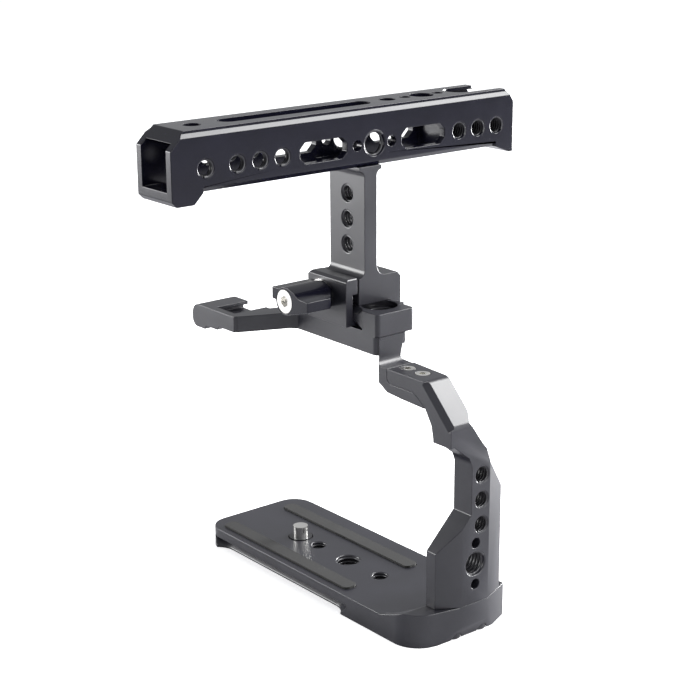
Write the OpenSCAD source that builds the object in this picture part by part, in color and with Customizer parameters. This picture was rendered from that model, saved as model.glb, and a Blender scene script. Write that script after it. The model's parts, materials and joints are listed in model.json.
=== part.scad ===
// Half cage for a small mirrorless camera, with a top handle clamped on a quick-release rail.
// Millimetres. The origin is on the central tripod thread, at the underside of the base.
// +X is the operator's right, +Y is forward (lens side), +Z is up.

/* [Base] */
// Length of the base plate
base_length = 139; // [130:1:150]
// Distance from the tripod thread to the right face of the base
base_right = 89.5; // [86:0.5:96]
// Distance from the tripod thread to the rear face of the base
base_rear = 22.5; // [21.5:0.5:25]
// Distance from the tripod thread to the front face of the base
base_front = 27; // [25:0.5:27.5]
// Height of the base plate under the camera
base_height = 9.2; // [8.6:0.1:12]
// Plan radius of the rear right corner
base_corner_r = 12; // [8:1:13]
// How far the rear right corner lies in from the right face
base_corner_in = 2.2; // [1.6:0.2:3.4]
// Plan radius of the two left corners
base_left_r = 9; // [5:1:14]
// Height of the raised right end, where the side plate stands
seam_height = 13.6; // [12.6:0.1:16]
// Height of the steep chamfer under the right end
end_chamfer_h = 5.3; // [3:0.1:7]
// Width of the steep chamfer under the right end
end_chamfer_w = 2.1; // [1:0.1:3]

/* [Base dovetail] */
// Length of the dovetail, centred on the tripod thread
dovetail_length = 92; // [60:1:92]
// Width across the dovetail's bottom edges
dovetail_width = 38; // [36:0.5:40]
// Height of the dovetail groove
dovetail_height = 5.2; // [4.6:0.1:6]
// Height of the straight edge at the foot of the dovetail
dovetail_edge = 0.8; // [0.4:0.1:1.2]
// Depth that the 45 degree flank cuts in
dovetail_undercut = 2.8; // [2:0.1:3.2]
// Radius of the cutter that leaves the rounded groove ends
dovetail_cutter_r = 12; // [10:0.5:16]

/* [Camera screw] */
// Place of the camera screw along the base
camera_screw_x = -12; // [-16:0.5:-11.5]
// Radius of the camera screw's shank (1/4 inch thread)
camera_screw_r = 3.1; // [2.9:0.05:3.2]
// Radius of the camera screw's head
camera_head_r = 6; // [5:0.1:7]
// Height of the camera screw's head
camera_head_h = 3.2; // [2.6:0.1:3.4]
// Height of the screw's tip above the seat
camera_screw_reach = 5; // [4:0.1:5.6]
// Travel of the captive screw
camera_screw_travel = 3.2; // [2:0.1:3.4]
// Height of the retaining ring
ring_height = 0.7; // [0.5:0.1:1]
// Outer radius of the retaining ring
ring_r = 4.9; // [4.6:0.1:5.2]

/* [Seat pads] */
// Height of a pad above the seat
pad_proud = 0.8; // [0.4:0.1:1.2]
// Depth of the pocket that holds a pad
pad_sunk = 0.8; // [0.4:0.1:1.2]
// Width of a pad
pad_width = 6; // [4:0.5:7]
// Length of a pad
pad_length = 84; // [60:1:92]

/* [Threads] */
// Radius of a 1/4 inch threaded hole
quarter_r = 3.2; // [3:0.05:3.4]
// Radius of a 3/8 inch threaded hole
three_eighth_r = 4.8; // [4.6:0.05:5]
// Radius of a locating pin hole beside a 3/8 inch thread
locating_r = 2.1; // [1.8:0.05:2.4]
// Distance from a 3/8 inch thread to its locating pin holes
locating_pitch = 8.4; // [8:0.1:9]
// Pitch between neighbouring 1/4 inch holes
hole_pitch = 10; // [9:0.1:11]
// Chamfer at the mouth of a threaded hole
mouth = 0.4; // [0.2:0.05:0.6]

/* [Side plate] */
// Thickness of the side plate
side_thick = 10; // [9:0.2:11.5]
// Rear face of the arm, stem and tab
rear_plane = -7.4; // [-8:0.1:-6.6]
// Front end of the side plate
side_end = 23; // [21:0.5:24.5]
// Front edge of the flat right face
side_front = 12.7; // [12:0.1:15]
// Rear edge of the flat right face, below the cut-out
side_crease = -1.3; // [-2:0.1:0]
// Length in Y of the slanted facet behind the flat right face
rear_facet_y = 8.9; // [7:0.1:10]
// Depth in X of the slanted facet behind the flat right face
rear_facet_x = 4.8; // [3:0.2:6]
// Depth in X of the slanted facet in front of the flat right face
front_facet_x = 4.4; // [2:0.2:6]
// Height of the lowest 3/8 inch hole in the side plate
side_three_eighth_z = 29.8; // [27:0.2:32]
// Place of the 3/8 inch hole along Y
side_three_eighth_y = 6; // [5:0.2:7]
// Height of the lowest 1/4 inch hole in the side plate
side_quarter_z = 45.2; // [44.4:0.2:48]
// Place of the 1/4 inch holes along Y
side_quarter_y = 8.8; // [8:0.2:9]

/* [Lap joint] */
// Height of the tab's top face above the floor
tab_top = 101.2; // [100:0.2:103]
// Thickness of the tab
tab_thick = 5.7; // [5:0.1:6.2]
// Left end of the tab
tab_left = 53.1; // [52.5:0.1:54]
// Right end of the tab's flat top
tab_right = 74.7; // [73:0.1:76]
// Width of the tab, front to back
tab_width = 13.4; // [12.4:0.2:14]
// Distance between the two tab screws
tab_screw_pitch = 8.5; // [8:0.1:9]
// Thickness of the sloped shoulder, measured square to the slope
shoulder_thick = 7; // [6:0.2:8]

/* [Rail] */
// Height of the rail's top face above the floor
rail_top = 120.8; // [118:0.2:124]
// Centre line of the rail along Y
rail_y = 3.2; // [2.6:0.1:3.6]
// Width of the rail's top face
rail_top_width = 15.6; // [15.2:0.1:16]
// Width across the rail's flanks
rail_width = 21.2; // [20.8:0.1:21.6]
// Height of the straight edge on the rail's flanks
rail_edge = 1.8; // [1.4:0.1:2.2]
// Height of the neck under the rail's flanks
rail_neck = 0.3; // [0.2:0.1:0.6]
// Left end of the rail
rail_left = -3; // [-6:0.5:-2]
// Right end of the rail, past its stop
rail_right = 47.5; // [46.8:0.1:48.2]
// Right end of the milled rail flanks
rail_run_out = 40.5; // [39:0.5:41]
// Radius of the cutter that leaves the rounded run-outs
rail_cutter_r = 8; // [6:0.5:10]
// Height of the rail's stop block
stop_height = 8.9; // [8.4:0.1:10]
// How far the front of the stop block lies behind the rail's front flank
stop_front_in = 2.4; // [1:0.2:3]
// Radius of the upright edges of the stop block
stop_r = 1.7; // [1:0.1:3]
// Underside of the bar and of the arm
bar_bottom = 104.6; // [103.6:0.1:105]
// Radius of the round recess in the rail's top
recess_r = 7.1; // [6:0.1:7.4]
// Depth of the round recess in the rail's top
recess_depth = 2.4; // [1:0.2:4]
// Place of the round recess along the rail
recess_x = 35.9; // [35:0.1:36.4]

/* [Arm and cold shoe] */
// Height of the arm's top face above the floor
arm_top = 111.2; // [110:0.1:112]
// Left side of the cold shoe
shoe_left = -43.3; // [-45:0.1:-42]
// Rear face of the cold shoe
shoe_rear = -30.5; // [-32:0.1:-29]
// Front face of the cold shoe
shoe_front = -11.5; // [-13:0.1:-10]
// Width of a cold shoe's mouth
shoe_mouth = 12.5; // [12.4:0.1:13]
// Width of a cold shoe's slot
shoe_slot = 18.7; // [18.6:0.1:19]
// Height of a cold shoe's slot
shoe_slot_h = 2.1; // [2:0.05:2.4]
// Thickness of a cold shoe's lips
shoe_lip = 1.5; // [1.2:0.1:2]
// Width of the lip at the left of the cold shoe
shoe_side = 13; // [12:0.1:14]
// Radius of the rounding at the cold shoe's left end
shoe_end_r = 4.5; // [2:0.1:4.8]
// Thickness of the wall behind the cold shoe's slot
shoe_wall = 3.5; // [3:0.1:5]
// Underside of the cold shoe
shoe_bottom = 101.5; // [100.6:0.1:102.4]

/* [Handle grip] */
// Centre line of the handle along X
handle_x = 22.4; // [18:0.2:22.8]
// Width of the handle grip
grip_width = 22; // [21:0.5:26]
// Rear end of the handle grip
grip_rear = -88.1; // [-92:0.1:-86]
// Front end of the handle grip
grip_front = 75.6; // [73:0.2:80]
// Height of the side holes above the floor
grip_hole_z = 183.3; // [182:0.1:186]
// Height of the grip's body above the side holes
grip_up = 13.8; // [13:0.1:15]
// Height of the step beside the grip's top
grip_step = 1; // [0.6:0.1:1.6]
// Depth of the grip's body below the side holes
grip_down = 8.6; // [7.6:0.2:10]
// Depth of the end hooks below the grip's body
hook_depth = 3.9; // [2:0.1:5]
// Length of an end hook along the grip
hook_length = 9.4; // [8:0.2:12]
// Width of the long slot in the grip's top
top_slot_width = 8; // [7.4:0.1:9]
// Chamfer along the grip's top edges
grip_top_chamfer = 1.5; // [1:0.1:2.4]
// Chamfer along the grip's bottom edges
grip_bottom_chamfer = 1.9; // [1:0.1:2.4]
// Thickness of the grip's side walls
grip_wall = 3.2; // [2.6:0.1:4]
// Thickness of the grip's top
grip_roof = 4.2; // [3.6:0.1:5]
// Place of the central 3/8 inch hole along the grip
grip_centre = 3.3; // [2:0.1:5]
// Distance from the central hole to the first side hole
side_hole_first = 43.2; // [42:0.2:44]
// Distance from the central hole to the rear side hole
side_hole_rear = 76.8; // [74:0.2:78]
// Start of a side slot, from the central hole
side_slot_start = 13.4; // [13:0.1:14]
// Length of a side slot
side_slot_length = 22; // [18:0.5:23]
// Height of a side slot
side_slot_h = 8; // [6:0.2:9]

/* [Handle post] */
// Width of the post
post_width = 21.3; // [20:0.1:22]
// Width of the clamp
clamp_width = 23.8; // [23:0.1:24.4]
// Rear face of the post
post_rear = -1.5; // [-2:0.1:-1]
// Thickness of the post
post_thick = 6.1; // [5.6:0.1:7]
// Height of the lowest hole in the post
post_hole_z = 143.1; // [142:0.1:146]
// Top of the clamp block above the rail
block_up = 10.7; // [10:0.1:12]
// Rear face of the clamp block
block_rear = -4.4; // [-4.6:0.1:-4.2]
// Front face of the clamp block
block_front = 16.7; // [16.6:0.1:18]
// Fillet between post and clamp block at the front
block_fillet = 4.4; // [3:0.1:5]
// Thickness of the flange under the grip
flange_thick = 1.6; // [1.2:0.1:2.4]
// Reach of the flange past the post's faces
flange_reach = 2.4; // [1.6:0.1:3]

/* [Clamp] */
// Thickness of the moving jaw
jaw_thick = 5.7; // [5.2:0.1:6.4]
// Gap between the moving jaw and the clamp block
jaw_gap = 0.7; // [0.5:0.1:1]
// Height of the jaw above the rail
jaw_up = 11.4; // [10.4:0.1:12.4]
// How far the clamp bolt lies left of the clamp's centre
bolt_left = 3.1; // [2.6:0.1:3.6]
// Height of the clamp bolt above the rail
bolt_up = 3.2; // [3:0.1:3.6]
// Radius of the clamp bolt
bolt_r = 2.5; // [2:0.1:2.6]
// Radius of the bolt's head
bolt_head_r = 4.6; // [4.2:0.1:4.8]
// Length of the bolt's head
bolt_head_l = 4; // [3:0.1:5]
// Width across the flats of the bolt's hexagon socket
bolt_socket = 4; // [3:0.1:4.4]
// Length of the lever along the bolt
lever_length = 17.4; // [16:0.2:20]
// Radius of the lever's hub
lever_hub_r = 5.6; // [5.4:0.1:6]
// Reach of the lever's wing from the bolt
lever_reach = 14.4; // [12:0.1:15]
// Thickness of the washer
washer_thick = 0.8; // [0.6:0.1:1]
// Radius of a guide pin
pin_r = 1.1; // [1:0.05:1.2]
// Height of the guide pins above the rail
pin_up = 7.4; // [7.2:0.1:7.8]
// Distance between the guide pins
pin_spacing = 13.6; // [13:0.1:14.6]

/* [Fits] */
// Clearance between the handle's clamp and the rail
rail_clear = 0.12; // [0.08:0.01:0.2]
// Radial clearance of a turning or sliding shaft
run_clear = 0.05; // [0.03:0.01:0.08]
// Clearance round a screw head in its counterbore
head_clear = 0.3; // [0.2:0.05:0.5]

/* [Hidden] */
$fn = 64;

// Anodised aluminium, rubber and steel, as the photograph shows them
ANODISED = [0.10, 0.10, 0.11];
GLOSS_ANODISED = [0.05, 0.05, 0.07];
RUBBER = [0.06, 0.06, 0.06];
BRIGHT_STEEL = [0.80, 0.79, 0.76];
DARK_STEEL = [0.25, 0.25, 0.27];

over = 1;   // how far a cut runs past the face it opens

base_left = base_right - base_length;
side_inner = base_right - side_thick;
front_slope = front_facet_x / (side_end - side_front);
pin_z = rail_top + pin_up;
neck_half = dovetail_width / 2 - dovetail_undercut;

// Screws between base and side plate
base_screw_r = 2;
base_screw_head_r = 3.3;
base_screw_head_h = 4;
base_screw_x = base_right - 4.6;
base_screw_ys = [side_crease - 0.3, side_front - 1.1];
base_screw_bite = 9;
base_screw_sunk = 0.4;

// Locating pins between base and side plate
dowel_r = 1.5;
dowel_l = 8;
dowel_ys = [side_three_eighth_y - 0.6, side_end - 4];
dowel_x = side_inner + 2.6;

// Camera screw: the web between counterbore and ring recess
screw_sunk = 0.4;
head_pocket = screw_sunk + camera_head_h + 0.2;
ring_recess_r = ring_r + head_clear;
ring_rest = base_height - ring_height + 0.3;
ring_floor = ring_rest - camera_screw_travel;
pad_y = base_rear - 3.6 - pad_width / 2;
pad_x = 0;
tripod_xs = [0, 40];
tripod_big_x = 20;

// Side plate
side_top = tab_top + tab_right - base_right;   // where the 45 degree shoulder meets the right face
cut_out_top = side_top - 7.5;
cut_out_y = side_crease + 4.7;
cut_out_low = 50;
cut_out_rise = 6;
tab_front = rear_plane + tab_width;
tab_bottom = tab_top - tab_thick;
tab_corner = 1.6;
shoulder_in = shoulder_thick * sqrt(2);
tab_screw_r = 1.5;
tab_screw_head_r = 2.9;
tab_screw_head_h = 1.7;
tab_screw_l = 9;
tab_screw_y = rear_plane + tab_width / 2;
tab_screw_xs = [for (i = [0, 1]) tab_left + 4.4 + i * tab_screw_pitch];
foot_bottom = 90.9;

// Rail section, measured from its centre line
rail_half_top = rail_top_width / 2;
rail_thread_l = 8;
rail_half = rail_width / 2;
rail_bevel = rail_half - rail_half_top;
rail_edge_top = rail_top - rail_bevel;
rail_edge_low = rail_edge_top - rail_edge;
rail_neck_top = rail_edge_low - rail_bevel;
rail_neck_low = rail_neck_top - rail_neck;
stem_right = rail_right - 0.2;
stem_front_top = 6.9;
stem_front_low = 4.3;
slope_front = tab_front - 1.4;
neck_r = 3;
bend_r = 3.8;

// Handle
grip_top = grip_hole_z + grip_up;
grip_bottom = grip_hole_z - grip_down;
hook_bottom = grip_bottom - hook_depth;
grip_half = grip_width / 2;
cavity_half = grip_half - grip_wall;
cavity_top = grip_top - grip_roof;
bridge_top = grip_bottom + 2;
bridge_y = [post_rear - 9, post_rear + post_thick + 9];
shoe_start = grip_front - 26;
cavity_front = grip_centre + side_hole_first - quarter_r - 1.4;
hook_web = 2.6;
grip_big_y = grip_front - 39.6;

// Post and clamp
post_front = post_rear + post_thick;
post_half = post_width / 2;
clamp_right = handle_x + post_half;
clamp_left = clamp_right - clamp_width;
clamp_mid = (clamp_left + clamp_right) / 2;
bolt_x = clamp_mid - bolt_left;
pin_xs = [for (s = [-1, 1]) clamp_mid + s * pin_spacing / 2];
block_top = rail_top + block_up;
jaw_front = block_rear - jaw_gap;
jaw_rear = jaw_front - jaw_thick;
jaw_top = rail_top + jaw_up;
jaw_toe = rail_neck_top;
bolt_z = rail_top + bolt_up;
lever_front = jaw_rear - washer_thick;
lever_rear = lever_front - lever_length;
bolt_tip = block_front - 4;
post_screw_r = 2;
post_screw_head_r = 3.5;
post_screw_head_h = 1.7;
post_screw_l = 7;
post_screw_y = post_rear + post_thick / 2;
post_pin_x = 7;
post_pin_r = 1.5;
post_pin_l = 3.6;
pin_l = 12;
spring_r = 1.8;
spring_wire = 0.4;
spring_pocket = 6;
key_r = 1;

// Extrudes a (Y, Z) outline along X
module along_x(x0, x1) {
    translate([x0, 0, 0]) rotate([90, 0, 90]) linear_extrude(x1 - x0) children();
}

// Extrudes an (X, Z) outline along Y
module along_y(y0, y1) {
    translate([0, y1, 0]) rotate([90, 0, 0]) linear_extrude(y1 - y0) children();
}

// Extrudes an (X, Y) outline along Z
module along_z(z0, z1) {
    translate([0, 0, z0]) linear_extrude(z1 - z0) children();
}

// A box between two corners
module block(low, high) {
    translate(low) cube(high - low);
}

// A cylinder along +X, +Y or +Z between two places on its axis
module rod_x(p, r, x0, x1) {
    translate([x0, p[0], p[1]]) rotate([0, 90, 0]) cylinder(r = r, h = x1 - x0);
}
module rod_y(p, r, y0, y1) {
    translate([p[0], y1, p[1]]) rotate([90, 0, 0]) cylinder(r = r, h = y1 - y0);
}
module rod_z(p, r, z0, z1) {
    translate([p[0], p[1], z0]) cylinder(r = r, h = z1 - z0);
}

// A hole along X with chamfered mouths at both faces
module tapped_x(p, r, x0, x1) {
    rod_x(p, r, x0 - over, x1 + over);
    translate([x1 - mouth, p[0], p[1]]) rotate([0, 90, 0]) cylinder(r1 = r, r2 = r + 2 * mouth, h = 2 * mouth);
    translate([x0 + mouth, p[0], p[1]]) rotate([0, -90, 0]) cylinder(r1 = r, r2 = r + 2 * mouth, h = 2 * mouth);
}

// A hole along Y with chamfered mouths at both faces
module tapped_y(p, r, y0, y1) {
    rod_y(p, r, y0 - over, y1 + over);
    translate([p[0], y0 + mouth, p[1]]) rotate([90, 0, 0]) cylinder(r1 = r, r2 = r + 2 * mouth, h = 2 * mouth);
    translate([p[0], y1 - mouth, p[1]]) rotate([-90, 0, 0]) cylinder(r1 = r, r2 = r + 2 * mouth, h = 2 * mouth);
}

// A hole along Z with chamfered mouths at both faces
module tapped_z(p, r, z0, z1) {
    rod_z(p, r, z0 - over, z1 + over);
    translate([p[0], p[1], z1 - mouth]) cylinder(r1 = r, r2 = r + 2 * mouth, h = 2 * mouth);
    translate([p[0], p[1], z0 + mouth]) rotate([180, 0, 0]) cylinder(r1 = r, r2 = r + 2 * mouth, h = 2 * mouth);
}

// A rectangle with its four corners rounded, radii from the low left corner anticlockwise
module rounded_plan(low, high, radii) {
    corners = [low, [high[0], low[1]], high, [low[0], high[1]]];
    difference() {
        translate(low) square(high - low);
        for (i = [0:3]) if (radii[i] > 0) translate(corners[i]) rotate(90 * i) difference() {
            translate([-over, -over]) square(radii[i] + over);
            translate([radii[i], radii[i]]) circle(radii[i]);
        }
    }
}

// ---------------------------------------------------------------- base

// Half of the dovetail's groove outline, on the +Y side, out to y
module dovetail_groove(y) {
    polygon([[dovetail_width / 2, -over], [dovetail_width / 2, dovetail_edge],
             [neck_half, dovetail_edge + dovetail_undercut], [neck_half, dovetail_height],
             [y, dovetail_height], [y, -over]]);
}

// Groove along one side of the base, with the rounded ends that the cutter leaves
module dovetail_cut(depth) {
    axis_y = neck_half + dovetail_cutter_r;
    chord = sqrt(pow(dovetail_cutter_r, 2) - pow(axis_y - depth, 2));
    half_run = dovetail_length / 2 - chord;
    along_x(-half_run, half_run) dovetail_groove(axis_y);
    for (s = [-1, 1]) translate([s * half_run, axis_y, 0]) rotate_extrude() mirror([1, 0])
        translate([-axis_y, 0]) dovetail_groove(axis_y);
}

// Outline of the base at the floor
module base_outline() {
    cx = base_right - base_corner_in - base_corner_r;
    cy = base_corner_r - base_rear;
    difference() {
        union() {
            rounded_plan([base_left, -base_rear], [cx, base_front], [base_left_r, 0, 0, base_left_r]);
            polygon([[cx - over, -base_rear], [cx, -base_rear], [cx + base_corner_r * cos(10), cy - base_corner_r * sin(10)],
                     [base_right, side_crease], [base_right, side_front],
                     [base_right - front_slope * (base_front - side_front), base_front], [cx - over, base_front]]);
            translate([cx, cy]) circle(base_corner_r);
        }
    }
}

// Outline of the side plate's foot, with a slanted facet behind and in front
module side_outline(inner) {
    polygon([[inner, side_crease - rear_facet_y], [base_right - rear_facet_x, side_crease - rear_facet_y],
             [base_right, side_crease], [base_right, side_front], [base_right - front_facet_x, side_end],
             [inner, side_end]]);
}

module base_plate() {
    rise_from = side_inner - 12.5;
    rim = 2.6;
    scoop_r = 9;
    color(ANODISED) difference() {
        union() {
            along_z(0, base_height) base_outline();
            // the right end rises behind the camera and carries the side plate
            intersection() {
                along_z(base_height - over, seam_height) base_outline();
                along_y(-base_rear - over, base_front + over)
                    polygon([[rise_from, base_height - over], [rise_from, base_height], [side_inner, seam_height],
                             [base_right + over, seam_height], [base_right + over, base_height - over]]);
            }
        }
        // the camera's seat is scooped out inside the raised rim
        along_z(base_height, seam_height + over)
            rounded_plan([rise_from - 10, rim - base_rear], [side_inner - 0.6, base_front + over], [0, scoop_r, 0, 0]);
        dovetail_cut(base_front);
        mirror([0, 1, 0]) dovetail_cut(base_rear);
        // steep chamfer under the right end
        along_y(-base_rear - over, base_front + over)
            polygon([[base_right - end_chamfer_w, 0], [base_right, end_chamfer_h], [base_right + over, end_chamfer_h],
                     [base_right + over, -over], [base_right - end_chamfer_w, -over]]);
        // screws and locating pins to the side plate
        for (y = base_screw_ys) {
            rod_z([base_screw_x, y], base_screw_r + 0.2, -over, seam_height + over);
            rod_z([base_screw_x, y], base_screw_head_r + head_clear, -over, base_screw_sunk + base_screw_head_h);
        }
        for (y = dowel_ys) rod_z([dowel_x, y], dowel_r, seam_height - dowel_l / 2, seam_height + over);
        // tripod threads
        for (x = tripod_xs) tapped_z([x, 0], quarter_r, 0, base_height);
        tapped_z([tripod_big_x, 0], three_eighth_r, 0, base_height);
        // camera screw with its head pocket and ring recess
        rod_z([camera_screw_x, 0], camera_screw_r + 0.3, -over, base_height + over);
        rod_z([camera_screw_x, 0], camera_head_r + head_clear, -over, head_pocket);
        rod_z([camera_screw_x, 0], ring_recess_r, ring_floor, base_height + over);
        // pockets for the pads
        for (s = [-1, 1]) along_z(base_height - pad_sunk, base_height + over) pad_outline(s, 0.1);
    }
}

// Outline of a pad, on the rear (s = -1) or front (s = 1) of the seat
module pad_outline(s, grow) {
    rounded_plan([pad_x - pad_length / 2 - grow, s * pad_y - pad_width / 2 - grow],
                 [pad_x + pad_length / 2 + grow, s * pad_y + pad_width / 2 + grow], [2, 2, 2, 2]);
}

module rear_pad() {
    color(RUBBER) along_z(base_height - pad_sunk, base_height + pad_proud) pad_outline(-1, 0);
}

module front_pad() {
    color(RUBBER) along_z(base_height - pad_sunk, base_height + pad_proud) pad_outline(1, 0);
}

module camera_screw() {
    p = [camera_screw_x, 0];
    color(BRIGHT_STEEL) difference() {
        union() {
            rod_z(p, camera_head_r, screw_sunk, screw_sunk + camera_head_h);
            rod_z(p, camera_screw_r, screw_sunk, ring_rest);
            rod_z(p, camera_screw_r - 0.5, ring_rest - over, ring_rest + ring_height + over);
            rod_z(p, camera_screw_r, ring_rest + ring_height, base_height + camera_screw_reach);
        }
        // coin slot and hexagon socket
        translate([camera_screw_x - 0.8, -camera_head_r - over, screw_sunk - over]) cube([1.6, 2 * camera_head_r + 2 * over, over + 1.4]);
        translate([camera_screw_x, 0, screw_sunk - over]) cylinder(r = 2 / cos(30), h = over + 2.6, $fn = 6);
    }
}

module screw_ring() {
    p = [camera_screw_x, 0];
    color(DARK_STEEL) difference() {
        rod_z(p, ring_r, ring_rest, ring_rest + ring_height);
        rod_z(p, camera_screw_r - 0.5 + run_clear, ring_rest - over, ring_rest + ring_height + over);
    }
}

module base_dowels() {
    color(BRIGHT_STEEL) for (y = dowel_ys)
        rod_z([dowel_x, y], dowel_r, seam_height - dowel_l / 2, seam_height + dowel_l / 2);
}

// A socket-head screw standing on its head, tip up
module socket_screw_up(p, z, r, head_r, head_h, tip, flats) {
    difference() {
        union() {
            rod_z(p, head_r, z, z + head_h);
            rod_z(p, r, z, tip);
        }
        translate([p[0], p[1], z - over]) cylinder(r = flats / 2 / cos(30), h = over + head_h * 0.6, $fn = 6);
    }
}

module base_screws() {
    color(DARK_STEEL) for (y = base_screw_ys)
        socket_screw_up([base_screw_x, y], base_screw_sunk, base_screw_r, base_screw_head_r,
                        base_screw_head_h, seam_height + base_screw_bite, 3);
}

// ---------------------------------------------------------------- side plate

// Right face of the side plate, as (Y, Z): cut-out behind, shoulder and facets in front
module side_face() {
    rear = side_crease - rear_facet_y;
    drop = cut_out_y - rear;
    polygon([[rear, seam_height], [rear, cut_out_low - drop], [cut_out_y, cut_out_low],
             [cut_out_y, cut_out_top - cut_out_rise - 3], [cut_out_y - 1.2, cut_out_top - cut_out_rise],
             [rear_plane + 2, cut_out_top], [rear_plane, cut_out_top], [rear_plane, tab_top + over],
             [tab_front, tab_top + over], [tab_front, side_top + 6], [tab_front - 3.6, side_top + 0.6],
             [side_front - 4, side_top - 8.4], [side_front - 1.8, side_top - 11],
             [side_end - 9.9, side_top - 17], [side_end, side_top - 30], [side_end, seam_height]]);
}

// Tab, shoulder and inner edge of the side plate, as (X, Z)
module shoulder_face() {
    lap_z = tab_bottom - 4;
    slope_in = tab_top + tab_right - shoulder_in;
    t = bend_r * tan(22.5);
    q = t / sqrt(2);
    difference() {
        polygon([[tab_left, tab_top], [tab_right, tab_top], [base_right, side_top], [base_right, seam_height],
                 [side_inner, seam_height], [side_inner, side_top - 6.4], [side_inner - 1.1, side_top - 1.1],
                 [slope_in - lap_z, lap_z], [slope_in - lap_z - 3.8, tab_bottom - 1.4],
                 [slope_in - lap_z - 6.4, tab_bottom], [tab_left + tab_corner, tab_bottom],
                 [tab_left, tab_bottom + tab_corner]]);
        difference() {
            polygon([[tab_right - t, tab_top + over], [tab_right - t, tab_top], [tab_right - t, tab_top - t],
                     [tab_right + q, tab_top - q], [tab_right + over, tab_top + over]]);
            translate([tab_right - t, tab_top - bend_r]) circle(bend_r);
        }
        difference() {
            polygon([[base_right - q, side_top + q], [base_right - t, side_top - t], [base_right, side_top - t],
                     [base_right + over, side_top - t], [base_right + over, side_top + over]]);
            translate([base_right - bend_r, side_top - t]) circle(bend_r);
        }
    }
}

module side_plate() {
    color(ANODISED) difference() {
        intersection() {
            along_x(tab_left - over, base_right + over) side_face();
            along_y(-base_rear, base_front) shoulder_face();
            union() {
                along_z(seam_height, side_top + over) side_outline(side_inner - 2);
                along_z(side_top - 10, tab_top + over)
                    polygon([[tab_left - over, rear_plane], [base_right + over, rear_plane], [base_right + over, slope_front],
                             [tab_right, slope_front], [tab_left - over, tab_front]]);
            }
        }
        // chamfer between the rear face and the shoulder's slope
        shoulder_chamfer();
        for (i = [0:2]) tapped_x([side_quarter_y, side_quarter_z + i * hole_pitch], quarter_r, side_inner, base_right);
        tapped_x([side_three_eighth_y, side_three_eighth_z], three_eighth_r, side_inner, base_right);
        for (s = [-1, 1])
            rod_x([side_three_eighth_y, side_three_eighth_z + s * locating_pitch], locating_r, base_right - 5, base_right + over);
        for (y = base_screw_ys) rod_z([base_screw_x, y], base_screw_r, seam_height - over, seam_height + base_screw_bite);
        for (y = dowel_ys) rod_z([dowel_x, y], dowel_r, seam_height - over, seam_height + dowel_l / 2);
        for (x = tab_screw_xs) {
            rod_z([x, tab_screw_y], tab_screw_r + 0.2, tab_bottom - over, tab_top + over);
            rod_z([x, tab_screw_y], tab_screw_head_r + 0.15, tab_top - tab_screw_head_h, tab_top + over);
        }
    }
}

// 45 degree chamfer along the shoulder's rear edge
module shoulder_chamfer() {
    c = 2;
    run = (base_right - tab_right) * sqrt(2);
    translate([tab_right, rear_plane, tab_top]) rotate([0, 45, 0])
        translate([0, 0, 0]) rotate([90, 0, 90]) linear_extrude(run)
            polygon([[-over, -c - over], [c + over, over], [-over, over]]);
}

// A flush screw with a hexagon socket, head up
module flush_screw_down(p, z, r, head_r, head_h, tip, flats) {
    difference() {
        union() {
            rod_z(p, head_r, z - head_h, z);
            rod_z(p, r, tip, z);
        }
        translate([p[0], p[1], z - head_h * 0.8]) cylinder(r = flats / 2 / cos(30), h = head_h + over, $fn = 6);
    }
}

module arm_screws() {
    color(BRIGHT_STEEL) for (x = tab_screw_xs)
        flush_screw_down([x, tab_screw_y], tab_top, tab_screw_r, tab_screw_head_r, tab_screw_head_h,
                         tab_top - tab_screw_l, 2.5);
}

// ---------------------------------------------------------------- top bar

// What is milled away beside the rail, on the +Y side of its centre line, out to y
module rail_groove(y) {
    polygon([[rail_half_top, rail_neck_low], [rail_half_top, rail_neck_top], [rail_half, rail_edge_low],
             [y, rail_edge_low], [y, rail_neck_low]]);
    polygon([[rail_half_top, rail_top], [rail_half, rail_edge_top], [y, rail_edge_top],
             [y, rail_top + over], [rail_half_top, rail_top + over]]);
}

// Both milled forms along one side of the rail, with the round run-out at the stop
module rail_cut() {
    axis = rail_half_top + rail_cutter_r;
    along_x(rail_left - over, rail_run_out - rail_cutter_r) rail_groove(axis);
    translate([rail_run_out - rail_cutter_r, axis, 0]) rotate_extrude() mirror([1, 0])
        translate([-axis, 0]) rail_groove(axis);
}

// Plan of the arm from the bar to the cold shoe
module arm_outline() {
    mouth_right = shoe_left + shoe_side + shoe_mouth;
    polygon([[10, rear_plane], [-2.1, rear_plane], [-4.6, rear_plane - 2.1], [-9.5, shoe_rear + 9.6],
             [-13.2, shoe_rear + 1.4], [-17.3, shoe_rear], [mouth_right - 2, shoe_rear], [mouth_right, shoe_front],
             [-16.5, -15.8], [-14.6, -9.1], [-9, 3], [rail_left, rail_y + rail_half], [10, rail_y + rail_half]]);
}

// Foot and stem, as (X, Z)
module stem_face() {
    lap_z = tab_bottom - 4;
    slope_in = tab_top + tab_right - shoulder_in;
    x0 = rail_right - 8;
    difference() {
        polygon([[x0, rail_top - stop_height + 0.5], [x0, bar_bottom - 3], [rail_right + 0.5, foot_bottom + 3.8],
                 [tab_left, foot_bottom + 0.9], [tab_left + 8, foot_bottom + 0.3], [slope_in - lap_z, foot_bottom - 0.2],
                 [slope_in - lap_z, lap_z], [slope_in - lap_z - 3.8, tab_bottom - 1.4],
                 [slope_in - lap_z - 6.4, tab_bottom], [tab_left + tab_corner, tab_bottom],
                 [tab_left, tab_bottom + tab_corner], [tab_left, tab_top], [stem_right + neck_r, tab_top],
                 [stem_right + neck_r, tab_top + neck_r], [stem_right, tab_top + neck_r],
                 [stem_right, rail_top - stop_height + 0.5]]);
        translate([stem_right + neck_r, tab_top + neck_r]) circle(neck_r);
    }
}

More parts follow.
